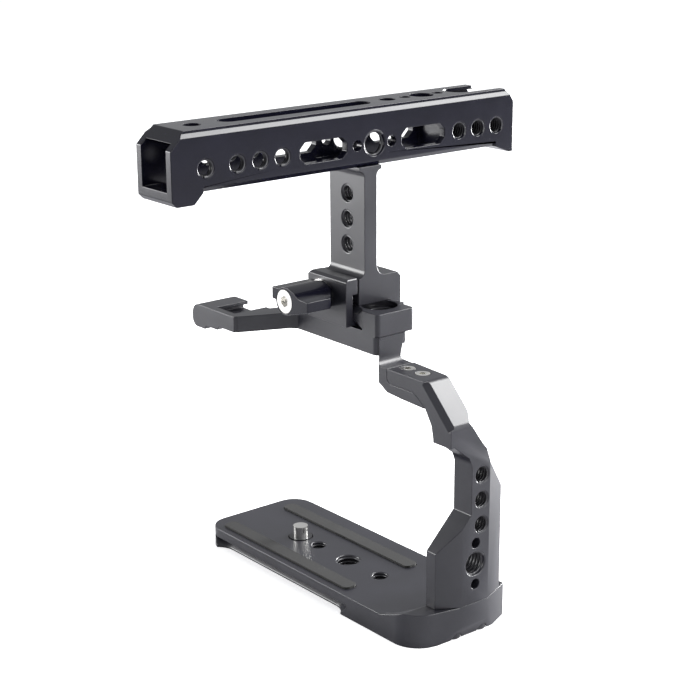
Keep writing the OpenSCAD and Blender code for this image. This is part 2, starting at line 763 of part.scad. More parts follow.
// Plan of the neck and foot: the neck's rear left side is cut back, clear of the camera's dials
module foot_plan() {
    polygon([[stem_right + 0.9, rear_plane], [base_right, rear_plane], [base_right, stem_front_top],
             [rail_right - 8, stem_front_top], [rail_right - 8, 2]]);
}

// Side view of stem and foot, as (Y, Z): the stem's front slants in towards the tab
module stem_side() {
    top = rail_top - stop_height + 0.5;
    polygon([[rear_plane, foot_bottom - 1], [tab_front, foot_bottom - 1], [tab_front, tab_top - 1],
             [tab_front - 0.6, tab_top], [stem_front_low, tab_top + 0.6], [stem_front_top, top], [rear_plane, top]]);
}

module top_bar() {
    shoe_x = shoe_left + shoe_side;
    shoe_r = shoe_x + shoe_mouth;
    color(ANODISED) difference() {
        union() {
            // rail stock down to the bar's underside, cut away under the stop block
            along_z(rail_top - stop_height, rail_top)
                rounded_plan([rail_left, rail_y - rail_half], [rail_right, rail_y + rail_half - stop_front_in],
                             [0, stop_r, stop_r, 0]);
            along_z(rail_neck_low - over, rail_top)
                rounded_plan([rail_left, rail_y - rail_half], [rail_run_out - 2, rail_y + rail_half], [0, 0, 0, 0]);
            along_z(bar_bottom, rail_neck_low - 0.5)
                rounded_plan([rail_left, rail_y - rail_half], [rail_run_out, rail_y + rail_half], [0, 0, stop_r, 0]);
            along_z(bar_bottom, arm_top) arm_outline();
            along_z(bar_bottom, rail_top - stop_height + 0.5)
                rounded_plan([rail_run_out - 4, rear_plane], [stem_right, stem_front_low + 0.6], [0, 2.5, 0, 0]);
            // stem, neck and foot
            intersection() {
                along_y(rear_plane, stem_front_top + 1) stem_face();
                along_z(foot_bottom - over, rail_top - stop_height + 0.5) foot_plan();
                along_x(rail_right - 8, base_right) stem_side();
            }
            // cold shoe block: rounded left end, underside stepped up towards the arm
            along_y(shoe_rear, shoe_front) shoe_side_face(shoe_r + 4);
        }
        translate([0, rail_y, 0]) for (s = [0, 1]) mirror([0, s, 0]) rail_cut();
        // cold shoe: mouth and slot, open at the front
        block([shoe_x, shoe_rear + shoe_wall, arm_top - shoe_lip - over], [shoe_r, shoe_front + over, arm_top + over]);
        block([shoe_x + (shoe_mouth - shoe_slot) / 2, shoe_rear + shoe_wall, arm_top - shoe_lip - shoe_slot_h],
              [shoe_x + (shoe_mouth + shoe_slot) / 2, shoe_front + over, arm_top - shoe_lip]);
        // round recess and thread in the rail's top
        rod_z([recess_x, rail_y], recess_r, rail_top - recess_depth, rail_top + over);
        rod_z([recess_x, rail_y], three_eighth_r, rail_top - recess_depth - rail_thread_l, rail_top + over);
        // tab screws
        for (x = tab_screw_xs) rod_z([x, tab_screw_y], tab_screw_r, foot_bottom - over, tab_top + over);
    }
}

// Rear view of the cold shoe block, as (X, Z), out to x1
module shoe_side_face(x1) {
    r = shoe_end_r;
    low = shoe_bottom;
    difference() {
        polygon([[shoe_left, low], [shoe_left + 8.6, low], [shoe_left + 10, low + 1.6], [shoe_left + 17.5, low + 1.6],
                 [shoe_left + 19, bar_bottom], [x1, bar_bottom], [x1, arm_top], [shoe_left, arm_top]]);
        difference() {
            translate([shoe_left - over, arm_top - r]) square(r + over);
            translate([shoe_left + r, arm_top - r]) circle(r);
        }
        difference() {
            translate([shoe_left - over, low - over]) square(r - 1 + over);
            translate([shoe_left + r - 1, low + r - 1]) circle(r - 1);
        }
    }
}

// ---------------------------------------------------------------- handle

// Side of the grip, as (Y, Z), with a hook at each end
module grip_side() {
    hook_r = hook_depth;
    difference() {
        polygon([[grip_rear, hook_bottom + 2], [grip_rear + 2, hook_bottom], [grip_rear + hook_length, hook_bottom],
                 [grip_rear + hook_length + hook_depth, grip_bottom], [grip_front - hook_length, grip_bottom],
                 [grip_front - 2, hook_bottom + 1], [grip_front, hook_bottom + 1], [grip_front, grip_top - 4.8],
                 [grip_front - 2.4, grip_top - 1.6], [grip_front - 3.4, grip_top], [grip_rear + 6.4, grip_top], [grip_rear, grip_top - 6.4]]);
    }
}

// Section of the grip, as (X, Z) about its centre line
module grip_section() {
    edge = grip_top - grip_step;
    c = grip_top_chamfer;
    polygon([[-grip_half, hook_bottom - over], [grip_half, hook_bottom - over], [grip_half, edge - c],
             [grip_half - c, edge], [grip_half - c, grip_top], [c - grip_half, grip_top], [c - grip_half, edge],
             [-grip_half, edge - c]]);
}

module handle_grip() {
    c = grip_bottom_chamfer;
    color(GLOSS_ANODISED) translate([handle_x, 0, 0]) difference() {
        intersection() {
            along_x(-grip_half, grip_half) grip_side();
            along_y(grip_rear, grip_front) grip_section();
        }
        // chamfers along the bottom edges
        for (s = [-1, 1]) along_y(grip_rear + hook_length + hook_depth, grip_front - hook_length)
            polygon([[s * (grip_half - c - over), grip_bottom - over], [s * (grip_half + over), grip_bottom + c + over],
                     [s * (grip_half + over), grip_bottom - over]]);
        // channel: closed by the hook's floor at the rear and by a bridge over the post
        block([-cavity_half, grip_rear - over, hook_bottom + hook_web + 2.6], [cavity_half, grip_rear + hook_length + 2, cavity_top]);
        block([-cavity_half, grip_rear + hook_length, grip_bottom - over], [cavity_half, bridge_y[0], cavity_top]);
        block([-cavity_half, bridge_y[0] - over, bridge_top], [cavity_half, bridge_y[1] + over, cavity_top]);
        block([-cavity_half, bridge_y[1], grip_bottom - over], [cavity_half, cavity_front, cavity_top]);
        // side holes
        tapped_x([grip_centre, grip_hole_z], three_eighth_r, -grip_half, grip_half);
        for (s = [-1, 1]) {
            rod_x([grip_centre + s * locating_pitch, grip_hole_z], locating_r, -grip_half - over, grip_half + over);
            for (i = [0:2]) tapped_x([grip_centre + s * (side_hole_first + i * hole_pitch), grip_hole_z], quarter_r, -grip_half, grip_half);
            side_slot(s);
        }
        tapped_x([grip_centre - side_hole_rear, grip_hole_z], quarter_r, -grip_half, grip_half);
        // top: rear thread, long slot, thread, 3/8 inch thread with locating holes
        rod_z([0, grip_rear + 16.5], quarter_r, cavity_top - over, grip_top + over);
        top_slot();
        rod_z([0, grip_front - 57.1], quarter_r, cavity_top - over, grip_top + over);
        rod_z([0, grip_big_y], three_eighth_r, cavity_top - over, grip_top + over);
        for (s = [-1, 1]) rod_z([0, grip_big_y + s * locating_pitch], locating_r, grip_top - 3, grip_top + over);
        // front cold shoe, open at the front
        grip_shoe();
        // screw and locating pins down into the post
        rod_z([0, post_screw_y], post_screw_r + 0.2, grip_bottom - over, bridge_top + over);
        for (s = [-1, 1]) rod_z([s * post_pin_x, post_screw_y], post_pin_r, grip_bottom - over, grip_bottom + post_pin_l / 2);
    }
}

// A side slot with chamfered ends, through both walls
module side_slot(s) {
    y0 = grip_centre + s * side_slot_start;
    y1 = grip_centre + s * (side_slot_start + side_slot_length);
    low = min(y0, y1);
    high = max(y0, y1);
    h = side_slot_h / 2;
    e = 2.4;
    along_x(-grip_half - over, grip_half + over)
        polygon([[low, grip_hole_z - h + e], [low + e, grip_hole_z - h], [high - e, grip_hole_z - h],
                 [high, grip_hole_z - h + e], [high, grip_hole_z + h - e], [high - e, grip_hole_z + h],
                 [low + e, grip_hole_z + h], [low, grip_hole_z + h - e]]);
}

// The long slot in the grip's top
module top_slot() {
    half = top_slot_width / 2;
    y0 = grip_rear + 28;
    y1 = 9;
    block([-half, y0 + half, cavity_top - over], [half, y1 - half, grip_top + over]);
    rod_z([0, y0 + half], half, cavity_top - over, grip_top + over);
    rod_z([0, y1 - half], half, cavity_top - over, grip_top + over);
}

// Cold shoe milled into the front of the grip's top
module grip_shoe() {
    lip_low = grip_top - shoe_lip;
    floor_z = lip_low - shoe_slot_h;
    block([-shoe_mouth / 2, shoe_start + shoe_mouth / 2, lip_low - over], [shoe_mouth / 2, grip_front + over, grip_top + over]);
    rod_z([0, shoe_start + shoe_mouth / 2], shoe_mouth / 2, lip_low - over, grip_top + over);
    block([-shoe_slot / 2, shoe_start + shoe_slot / 2 - 3, floor_z], [shoe_slot / 2, grip_front + over, lip_low]);
    rod_z([0, shoe_start + shoe_slot / 2 - 3], shoe_slot / 2, floor_z, lip_low);
    // the left lip ends short of the grip's front, on a slant
    along_x(-grip_half - over, -shoe_mouth / 2 + 0.1)
        polygon([[grip_front - 7.6, grip_top + over], [grip_front - 5.4, floor_z], [grip_front + over, floor_z],
                 [grip_front + over, grip_top + over]]);
}

// Post and fixed clamp half, as (Y, Z)
module post_side() {
    f = block_fillet;
    r = flange_reach;
    g = post_rear - block_rear;
    top = grip_bottom;
    difference() {
        union() {
            translate([post_rear, block_top - over]) square([post_thick, top - block_top + over]);
            // flange under the grip, with a fillet to each face of the post
            translate([post_rear - r, top - flange_thick]) square([post_thick + 2 * r, flange_thick]);
            translate([post_rear - r, top - flange_thick - r]) square([post_thick + 2 * r, r + 0.01]);
            // fillets down to the clamp block
            translate([post_front - 0.01, block_top - 0.01]) square([f + 0.01, f + 0.01]);
            translate([block_rear, block_top - 0.01]) square([g + 0.01, g + 0.01]);
        }
        translate([post_rear - r, top - flange_thick - r]) circle(r);
        translate([post_front + r, top - flange_thick - r]) circle(r);
        translate([post_front + f, block_top + f]) circle(f);
        translate([block_rear, block_top + g]) circle(g);
    }
}

// Fixed half of the clamp: it sits on the rail and hooks under the front flank
module fixed_jaw_side() {
    k = rail_clear;
    kk = k * sqrt(2);
    ch = 1.6;
    polygon([[block_rear, block_top], [block_front - ch, block_top], [block_front, block_top - ch],
             [block_front, jaw_toe], [rail_y + rail_half_top + kk, jaw_toe],
             [rail_y + rail_half + k, rail_edge_low + k - kk + k], [rail_y + rail_half + k, rail_edge_top - k + kk],
             [rail_y + rail_half_top + kk - k, rail_top + k], [block_rear, rail_top + k]]);
}

module handle_post() {
    color(ANODISED) difference() {
        intersection() {
            union() {
                along_x(clamp_left, clamp_right) post_side();
                along_x(clamp_left, clamp_right) fixed_jaw_side();
            }
            along_y(block_rear - 10, block_front + over) clamp_front();
        }
        for (i = [0:2]) tapped_y([handle_x, post_hole_z + i * hole_pitch], quarter_r, post_rear, post_front);
        rod_z([handle_x, post_screw_y], post_screw_r, grip_bottom - post_screw_l, grip_bottom + over);
        for (s = [-1, 1]) rod_z([handle_x + s * post_pin_x, post_screw_y], post_pin_r, grip_bottom - post_pin_l / 2, grip_bottom + over);
        rod_y([bolt_x, bolt_z], bolt_r + run_clear, block_rear - over, bolt_tip + 2);
        for (x = pin_xs) {
            rod_y([x, pin_z], pin_r, block_rear - over, block_rear + pin_l - jaw_thick);
            rod_y([x, pin_z], spring_r + 0.2, block_rear - over, block_rear + spring_pocket);
        }
    }
}

// Front view of post and clamp, as (X, Z), with chamfered upper corners on the clamp
module clamp_front() {
    polygon([[clamp_left, jaw_toe], [clamp_right, jaw_toe], [clamp_right, grip_bottom],
             [handle_x - post_half, grip_bottom], [handle_x - post_half, block_top], [clamp_left, block_top]]);
}

module post_screw() {
    color(DARK_STEEL) difference() {
        union() {
            rod_z([handle_x, post_screw_y], post_screw_head_r, bridge_top, bridge_top + post_screw_head_h);
            rod_z([handle_x, post_screw_y], post_screw_r, grip_bottom - post_screw_l, bridge_top + post_screw_head_h);
        }
        translate([handle_x, post_screw_y, bridge_top + 0.6]) cylinder(r = 1.25 / cos(30), h = 3, $fn = 6);
    }
}

module post_pins() {
    color(BRIGHT_STEEL) for (s = [-1, 1])
        rod_z([handle_x + s * post_pin_x, post_screw_y], post_pin_r, grip_bottom - post_pin_l / 2, grip_bottom + post_pin_l / 2);
}

module guide_pins() {
    color(BRIGHT_STEEL) for (x = pin_xs)
        rod_y([x, pin_z], pin_r, jaw_rear + 1.4, block_rear + pin_l - jaw_thick);
}

module jaw_springs() {
    color(DARK_STEEL) for (x = pin_xs) difference() {
        rod_y([x, pin_z], spring_r, jaw_front + 0.1, block_rear + spring_pocket);
        rod_y([x, pin_z], spring_r - spring_wire, jaw_front - over, block_rear + spring_pocket + over);
    }
}

// ---------------------------------------------------------------- clamp

// Moving jaw, as (Y, Z): it hooks under the rear flank
module jaw_side() {
    k = rail_clear;
    kk = k * sqrt(2);
    ch = 1.1;
    flank = rail_y - rail_half - k;
    step = bolt_z + 1.8;
    polygon([[jaw_rear, jaw_toe], [jaw_rear, jaw_top - ch], [jaw_rear + ch, jaw_top], [jaw_front, jaw_top],
             [jaw_front, step], [flank, step], [flank, rail_edge_low + k - kk + k], [rail_y - rail_half_top - kk, jaw_toe]]);
}

module clamp_jaw() {
    ch = 0.6;
    big = 1.6;
    color(ANODISED) difference() {
        intersection() {
            along_x(clamp_left, clamp_right) jaw_side();
            along_y(jaw_rear - over, jaw_front + over)
                polygon([[clamp_left, jaw_toe - over], [clamp_right, jaw_toe - over], [clamp_right, jaw_top - ch],
                         [clamp_right - ch, jaw_top], [clamp_left + big, jaw_top], [clamp_left, jaw_top - big]]);
        }
        rod_y([bolt_x, bolt_z], bolt_r + run_clear + 0.2, jaw_rear - over, jaw_front + over);
        for (x = pin_xs) rod_y([x, pin_z], pin_r + run_clear, jaw_rear + 1.2, jaw_front + over);
    }
}

// Bolt with a bright head that fills the end of the lever
module clamp_bolt() {
    color(BRIGHT_STEEL) difference() {
        union() {
            rod_y([bolt_x, bolt_z], bolt_head_r, lever_rear, lever_rear + bolt_head_l);
            rod_y([bolt_x, bolt_z], bolt_r, lever_rear, bolt_tip);
        }
        translate([bolt_x, lever_rear - over, bolt_z]) rotate([-90, 30, 0])
            cylinder(r = bolt_socket / 2 / cos(30), h = over + 2.6, $fn = 6);
        rod_x([lever_rear + lever_length / 2, bolt_z], key_r, bolt_x - 8, bolt_x + 8);
    }
}

// Outline of the lever, as (X, Z) about the bolt: hub, squared back and thumb wing
module lever_outline() {
    r = lever_hub_r;
    wing_top = 2.3;
    wing_low = -1.7;
    difference() {
        union() {
            circle(r);
            translate([-7.9, -0.3]) square([7.9, 4.8]);
            polygon([[0, -r], [lever_reach, wing_low], [lever_reach, wing_top], [lever_reach - 2.4, wing_top + 0.2],
                     [2.1, r + 0.1], [0, r]]);
        }
        // hollow between hub and wing, for the thumb
        translate([lever_reach - 3, wing_top + 8.4]) circle(8.2);
    }
}

module clamp_lever() {
    wing_l = 10.2;
    color(GLOSS_ANODISED) difference() {
        union() {
            intersection() {
                translate([bolt_x, lever_front, bolt_z]) rotate([90, 0, 0]) linear_extrude(lever_length) lever_outline();
                // the wing's far corner slants back to the hub
                along_z(bolt_z - 10, bolt_z + 10)
                    polygon([[bolt_x - 10, lever_rear - over], [bolt_x + lever_reach + over, lever_rear - over],
                             [bolt_x + lever_reach + over, lever_rear + wing_l], [bolt_x + 6, lever_front + over],
                             [bolt_x - 10, lever_front + over]]);
            }
        }
        rod_y([bolt_x, bolt_z], bolt_r, lever_rear - over, lever_front + over);
        rod_y([bolt_x, bolt_z], bolt_head_r + 0.1, lever_rear - over, lever_rear + bolt_head_l);
        rod_x([lever_rear + lever_length / 2, bolt_z], key_r, bolt_x - lever_hub_r + 0.6, bolt_x + lever_hub_r - 0.6);
    }
}

module lever_key() {
    color(BRIGHT_STEEL)
        rod_x([lever_rear + lever_length / 2, bolt_z], key_r, bolt_x - lever_hub_r + 0.6, bolt_x + lever_hub_r - 0.6);
}

module lever_washer() {
    color(BRIGHT_STEEL) difference() {
        rod_y([bolt_x, bolt_z], lever_hub_r + 0.3, lever_front, jaw_rear);
        rod_y([bolt_x, bolt_z], bolt_r + run_clear, lever_front - over, jaw_rear + over);
    }
}

base_plate();
rear_pad();
front_pad();
camera_screw();
screw_ring();
base_dowels();
base_screws();
side_plate();
arm_screws();
top_bar();
handle_grip();
handle_post();
post_screw();
post_pins();
guide_pins();
jaw_springs();
clamp_jaw();
clamp_bolt();
clamp_lever();
lever_key();
lever_washer();
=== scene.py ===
"""Studio view of a half camera cage with a top handle on a quick-release rail.

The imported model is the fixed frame. Milled pieces get broken edges and anodised finishes,
threaded holes get their thread ridges, and a plain white studio lights the whole.
Lengths are metres, +X is the operator's right, +Y the lens side, +Z up.
"""

from __future__ import annotations

import json
import logging
import math
from dataclasses import dataclass, field
from enum import Enum

import bmesh
import bpy
from mathutils import Matrix, Vector

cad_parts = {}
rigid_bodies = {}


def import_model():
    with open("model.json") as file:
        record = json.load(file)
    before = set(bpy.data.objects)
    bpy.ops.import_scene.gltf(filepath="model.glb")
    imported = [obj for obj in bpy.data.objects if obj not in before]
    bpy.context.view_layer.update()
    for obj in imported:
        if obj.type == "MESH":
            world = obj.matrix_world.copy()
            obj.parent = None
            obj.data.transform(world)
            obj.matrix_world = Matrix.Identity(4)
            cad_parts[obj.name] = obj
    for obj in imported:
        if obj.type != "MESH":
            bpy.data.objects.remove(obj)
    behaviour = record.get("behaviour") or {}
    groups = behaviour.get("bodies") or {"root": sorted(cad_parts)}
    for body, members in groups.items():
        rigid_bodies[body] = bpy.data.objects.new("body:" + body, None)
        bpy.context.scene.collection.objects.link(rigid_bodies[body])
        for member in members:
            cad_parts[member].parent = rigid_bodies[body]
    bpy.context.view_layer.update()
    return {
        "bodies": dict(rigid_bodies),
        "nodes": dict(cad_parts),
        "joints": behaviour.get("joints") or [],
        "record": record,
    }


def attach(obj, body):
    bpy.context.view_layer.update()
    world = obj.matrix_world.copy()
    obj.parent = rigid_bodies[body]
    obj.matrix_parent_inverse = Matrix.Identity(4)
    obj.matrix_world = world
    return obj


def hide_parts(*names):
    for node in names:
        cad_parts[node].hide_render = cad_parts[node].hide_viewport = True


LOG = logging.getLogger("camera_cage")
MM = 0.001

# 1/4-20 and 3/8-16 threads, in millimetres
QUARTER_R = 3.2
QUARTER_PITCH = 1.27
THREE_EIGHTH_R = 4.8
THREE_EIGHTH_PITCH = 1.5875


class Axis(Enum):
    """Direction of a hole's axis in the cage's frame."""

    X = (1.0, 0.0, 0.0)
    Y = (0.0, 1.0, 0.0)
    Z = (0.0, 0.0, 1.0)

    def turn(self) -> Matrix:
        """Returns the rotation that lays +Z along this axis."""
        return Vector((0, 0, 1)).rotation_difference(Vector(self.value)).to_matrix().to_4x4()


@dataclass(frozen=True)
class Finish:
    """A surface finish with its grain, mottling and sheen.

    Args:
        name: Name of the material.
        colour: Linear base colour.
        roughness: Mean roughness.
        metallic: Metallic share.
        specular: Specular level of the surface layer.
        grain: Size of the blasted or moulded grain, in millimetres.
        relief: Height of the grain, in millimetres.
        mottle: How far the roughness wanders over centimetres.
        coat: Weight of the sealed top layer.
        coat_roughness: Roughness of the sealed top layer.
        cloud_scale: How many clouds of tint fit in a metre.
        tint_swing: How far the tint goes below and above the base colour, as a share.
        bump: Strength of the grain's bump.
    """

    name: str
    colour: tuple[float, float, float]
    roughness: float
    metallic: float = 0.0
    specular: float = 0.5
    grain: float = 0.25
    relief: float = 0.01
    mottle: float = 0.05
    coat: float = 0.0
    coat_roughness: float = 0.12
    cloud_scale: float = 60.0
    tint_swing: float = 0.18
    bump: float = 0.35

    def build(self) -> bpy.types.Material:
        """Builds the material's nodes.

        Returns:
            The finished material.
        """
        material = bpy.data.materials.new(self.name)
        material.use_nodes = True
        tree = material.node_tree
        nodes, links = tree.nodes, tree.links
        shader = nodes["Principled BSDF"]
        shader.inputs["Metallic"].default_value = self.metallic
        shader.inputs["Specular IOR Level"].default_value = self.specular
        shader.inputs["Coat Weight"].default_value = self.coat
        shader.inputs["Coat Roughness"].default_value = self.coat_roughness
        place = nodes.new("ShaderNodeTexCoord")
        # colour wanders a little over the surface
        cloud = nodes.new("ShaderNodeTexNoise")
        cloud.inputs["Scale"].default_value = self.cloud_scale
        cloud.inputs["Detail"].default_value = 3.0
        links.new(place.outputs["Object"], cloud.inputs["Vector"])
        tint = nodes.new("ShaderNodeValToRGB")
        low = [c * (1.0 - self.tint_swing) for c in self.colour]
        high = [min(1.0, c * (1.0 + self.tint_swing)) for c in self.colour]
        tint.color_ramp.elements[0].position = 0.3
        tint.color_ramp.elements[0].color = (*low, 1.0)
        tint.color_ramp.elements[1].position = 0.7
        tint.color_ramp.elements[1].color = (*high, 1.0)
        links.new(cloud.outputs["Fac"], tint.inputs["Fac"])
        links.new(tint.outputs["Color"], shader.inputs["Base Color"])
        # roughness wanders with it, and speckles with the grain: the two noises add up to about 1
        speck = nodes.new("ShaderNodeTexNoise")
        speck.inputs["Scale"].default_value = 1.0 / (self.grain * MM)
        speck.inputs["Detail"].default_value = 2.0
        links.new(place.outputs["Object"], speck.inputs["Vector"])
        blend = nodes.new("ShaderNodeMath")
        blend.operation = "ADD"
        links.new(cloud.outputs["Fac"], blend.inputs[0])
        links.new(speck.outputs["Fac"], blend.inputs[1])
        rough = nodes.new("ShaderNodeMapRange")
        rough.inputs["From Min"].default_value = 0.6
        rough.inputs["From Max"].default_value = 1.4
        rough.inputs["To Min"].default_value = self.roughness - self.mottle
        rough.inputs["To Max"].default_value = self.roughness + self.mottle
        links.new(blend.outputs[0], rough.inputs["Value"])
        links.new(rough.outputs["Result"], shader.inputs["Roughness"])
        bump = nodes.new("ShaderNodeBump")
        bump.inputs["Strength"].default_value = self.bump
        bump.inputs["Distance"].default_value = self.relief * MM
        links.new(speck.outputs["Fac"], bump.inputs["Height"])
        links.new(bump.outputs["Normal"], shader.inputs["Normal"])
        return material


BODY_BLACK = Finish("anodised_black", (0.013, 0.013, 0.018), 0.33, specular=0.6, relief=0.012)
GRIP_BLACK = Finish(
    "anodised_gloss_black", (0.003, 0.003, 0.008), 0.20, specular=0.32, relief=0.006, mottle=0.03, coat=0.03
)
THREAD_BLACK = Finish("thread_black", (0.03, 0.03, 0.034), 0.3, metallic=0.35, specular=0.7)
RUBBER = Finish("pad_rubber", (0.018, 0.018, 0.018), 0.8, grain=0.6, relief=0.05)
BRIGHT = Finish("turned_steel", (0.78, 0.77, 0.74), 0.24, metallic=1.0, grain=0.15, relief=0.004)
DARK = Finish("black_oxide_steel", (0.06, 0.06, 0.065), 0.35, metallic=0.8, grain=0.2, relief=0.006)


@dataclass
class Workshop:
    """Materials, made once and shared by all pieces."""

    made: dict[str, bpy.types.Material] = field(default_factory=dict)

    def get(self, finish: Finish) -> bpy.types.Material:
        """Returns the material of a finish, and builds it the first time."""
        if finish.name not in self.made:
            self.made[finish.name] = finish.build()
        return self.made[finish.name]


def bake(piece: bpy.types.Object, modifier: bpy.types.Modifier) -> bpy.types.Mesh:
    """Turns a modifier's result into the piece's plain mesh.

    Args:
        piece: The piece that carries the modifier.
        modifier: The modifier, which is removed.

    Returns:
        The new mesh.
    """
    depsgraph = bpy.context.evaluated_depsgraph_get()
    mesh = bpy.data.meshes.new_from_object(piece.evaluated_get(depsgraph))
    piece.modifiers.remove(modifier)
    piece.data = mesh
    return mesh


def put_on(obj: bpy.types.Object, material: bpy.types.Material) -> None:
    """Gives an object one material in all its slots.

    Args:
        obj: The object to dress.
        material: Its new material.
    """
    if not obj.material_slots:
        obj.data.materials.append(material)
    for place in obj.material_slots:
        place.material = material


@dataclass
class MilledPiece:
    """A machined piece: the solid's form with its edges broken.

    Args:
        node: The solid that the piece stands for.
        body: The moving body that it rides on.
        slot: Its material slot in the record; not used.
        finish: Its finish.
        edge: Width of the broken edges, in millimetres.
        weld: Distance within which doubled points are merged, in millimetres.
        flat_angle: Angle under which neighbouring triangles are one face, in degrees.
        edge_angle: Angle from which an edge is broken, in degrees.
        crease_angle: Angle from which an edge stays sharp in the shading, in degrees.
    """

    node: str
    body: str
    slot: str
    finish: Finish
    edge: float = 0.25
    weld: float = 0.002
    flat_angle: float = 0.6
    edge_angle: float = 32.0
    crease_angle: float = 50.0

    def build(self, frame: dict, shop: Workshop) -> bpy.types.Object:
        """Copies the solid, merges it and breaks its edges.

        Args:
            frame: The loaded frame.
            shop: The materials.

        Returns:
            The finished piece.
        """
        source = frame["nodes"][self.node]
        mesh = source.data.copy()
        mesh.transform(source.matrix_world)
        work = bmesh.new()
        work.from_mesh(mesh)
        bmesh.ops.remove_doubles(work, verts=work.verts, dist=self.weld * MM)
        bmesh.ops.dissolve_limit(
            work, angle_limit=math.radians(self.flat_angle), verts=work.verts, edges=work.edges
        )
        work.to_mesh(mesh)
        work.free()
        piece = bpy.data.objects.new(f"{self.node}_milled", mesh)
        bpy.context.scene.collection.objects.link(piece)
        bevel = piece.modifiers.new("broken_edges", "BEVEL")
        bevel.width = self.edge * MM
        bevel.segments = 2
        bevel.limit_method = "ANGLE"
        bevel.angle_limit = math.radians(self.edge_angle)
        bevel.use_clamp_overlap = False
        bevel.miter_outer = "MITER_ARC"
        milled = bake(piece, bevel)
        milled.polygons.foreach_set("use_smooth", [True] * len(milled.polygons))
        milled.set_sharp_from_angle(angle=math.radians(self.crease_angle))
        # broad faces keep flat shading, and only the broken edges turn
        flat = piece.modifiers.new("flat_faces", "WEIGHTED_NORMAL")
        flat.weight = 100
        flat.keep_sharp = True
        bake(piece, flat)
        put_on(piece, shop.get(self.finish))
        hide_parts(self.node)
        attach(piece, self.body)
        return piece


@dataclass(frozen=True)
class Hole:
    """A threaded hole: a stretch of its wall that carries ridges.

    Args:
        start: Lowest point of the stretch on the axis, in millimetres.
        axis: Direction of the axis.
        length: Length of the stretch, in millimetres.
        radius: Major radius, in millimetres.
        pitch: Thread pitch, in millimetres.
    """

    start: tuple[float, float, float]
    axis: Axis
    length: float
    radius: float = QUARTER_R
    pitch: float = QUARTER_PITCH


def big_hole(start: tuple[float, float, float], axis: Axis, length: float) -> Hole:
    """Returns a 3/8 inch hole.

    Args:
        start: Lowest point of the stretch on the axis, in millimetres.
        axis: Direction of the axis.
        length: Length of the stretch, in millimetres.

    Returns:
        The hole.
    """
    return Hole(start, axis, length, THREE_EIGHTH_R, THREE_EIGHTH_PITCH)


class ThreadTool:
    """Cuts thread ridges with one Geometry Nodes tree."""

    STEPS = 28  # points in one turn
    RIDGE_SHARE = 0.44  # ridge's half width as a share of the pitch
    SINK = 0.02  # how far the ridge's middle lies in the wall, in millimetres

    def __init__(self, material: bpy.types.Material) -> None:
        """Builds the tree.

        Args:
            material: The finish of the ridges.
        """
        self.sockets: dict[str, str] = {}
        self.tree = bpy.data.node_groups.new("thread_ridges", "GeometryNodeTree")
        face = self.tree.interface
        face.new_socket("Geometry", in_out="OUTPUT", socket_type="NodeSocketGeometry")
        for name in ("Radius", "Turns", "Length", "Ridge"):
            item = face.new_socket(name, in_out="INPUT", socket_type="NodeSocketFloat")
            self.sockets[name] = item.identifier
        nodes, links = self.tree.nodes, self.tree.links
        given = nodes.new("NodeGroupInput")
        spiral = nodes.new("GeometryNodeCurveSpiral")
        spiral.inputs["Resolution"].default_value = self.STEPS
        links.new(given.outputs["Turns"], spiral.inputs["Rotations"])
        links.new(given.outputs["Radius"], spiral.inputs["Start Radius"])
        links.new(given.outputs["Radius"], spiral.inputs["End Radius"])
        links.new(given.outputs["Length"], spiral.inputs["Height"])
        profile = nodes.new("GeometryNodeCurvePrimitiveCircle")
        profile.inputs["Resolution"].default_value = 4
        links.new(given.outputs["Ridge"], profile.inputs["Radius"])
        normal = nodes.new("GeometryNodeSetCurveNormal")
        normal.mode = "Z_UP"
        links.new(spiral.outputs["Curve"], normal.inputs["Curve"])
        sweep = nodes.new("GeometryNodeCurveToMesh")
        sweep.inputs["Fill Caps"].default_value = True
        links.new(normal.outputs["Curve"], sweep.inputs["Curve"])
        links.new(profile.outputs["Curve"], sweep.inputs["Profile Curve"])
        real = nodes.new("GeometryNodeRealizeInstances")
        links.new(sweep.outputs["Mesh"], real.inputs["Geometry"])
        paint = nodes.new("GeometryNodeSetMaterial")
        paint.inputs["Material"].default_value = material
        links.new(real.outputs["Geometry"], paint.inputs["Geometry"])
        result = nodes.new("NodeGroupOutput")
        links.new(paint.outputs["Geometry"], result.inputs["Geometry"])
        self.material = material

    def ridges(self, hole: Hole) -> bpy.types.Mesh:
        """Makes one hole's ridges.

        Args:
            hole: The hole.

        Returns:
            A plain mesh in its place.
        """
        blank = bpy.data.objects.new("thread_blank", bpy.data.meshes.new("thread_blank"))
        bpy.context.scene.collection.objects.link(blank)
        tool = blank.modifiers.new("thread", "NODES")
        tool.node_group = self.tree
        tool[self.sockets["Radius"]] = (hole.radius + self.SINK) * MM
        tool[self.sockets["Turns"]] = hole.length / hole.pitch
        tool[self.sockets["Length"]] = hole.length * MM
        tool[self.sockets["Ridge"]] = hole.pitch * self.RIDGE_SHARE * MM
        mesh = bake(blank, tool)
        bpy.data.objects.remove(blank)
        mesh.transform(Matrix.Translation(Vector(hole.start) * MM) @ hole.axis.turn())
        return mesh

    def piece(self, name: str, holes: list[Hole], body: str, slot: str) -> bpy.types.Object:
        """Joins the ridges of several holes into one piece.

        Args:
            name: Name of the piece.
            holes: Its holes.
            body: The body that it rides on.
            slot: Its material slot in the record; not used.

        Returns:
            The finished piece.
        """
        work = bmesh.new()
        for hole in holes:
            work.from_mesh(self.ridges(hole))
        bmesh.ops.recalc_face_normals(work, faces=work.faces)
        mesh = bpy.data.meshes.new(name)
        work.to_mesh(mesh)
        work.free()
        piece = bpy.data.objects.new(name, mesh)
        bpy.context.scene.collection.objects.link(piece)
        put_on(piece, self.material)
        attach(piece, body)
        return piece


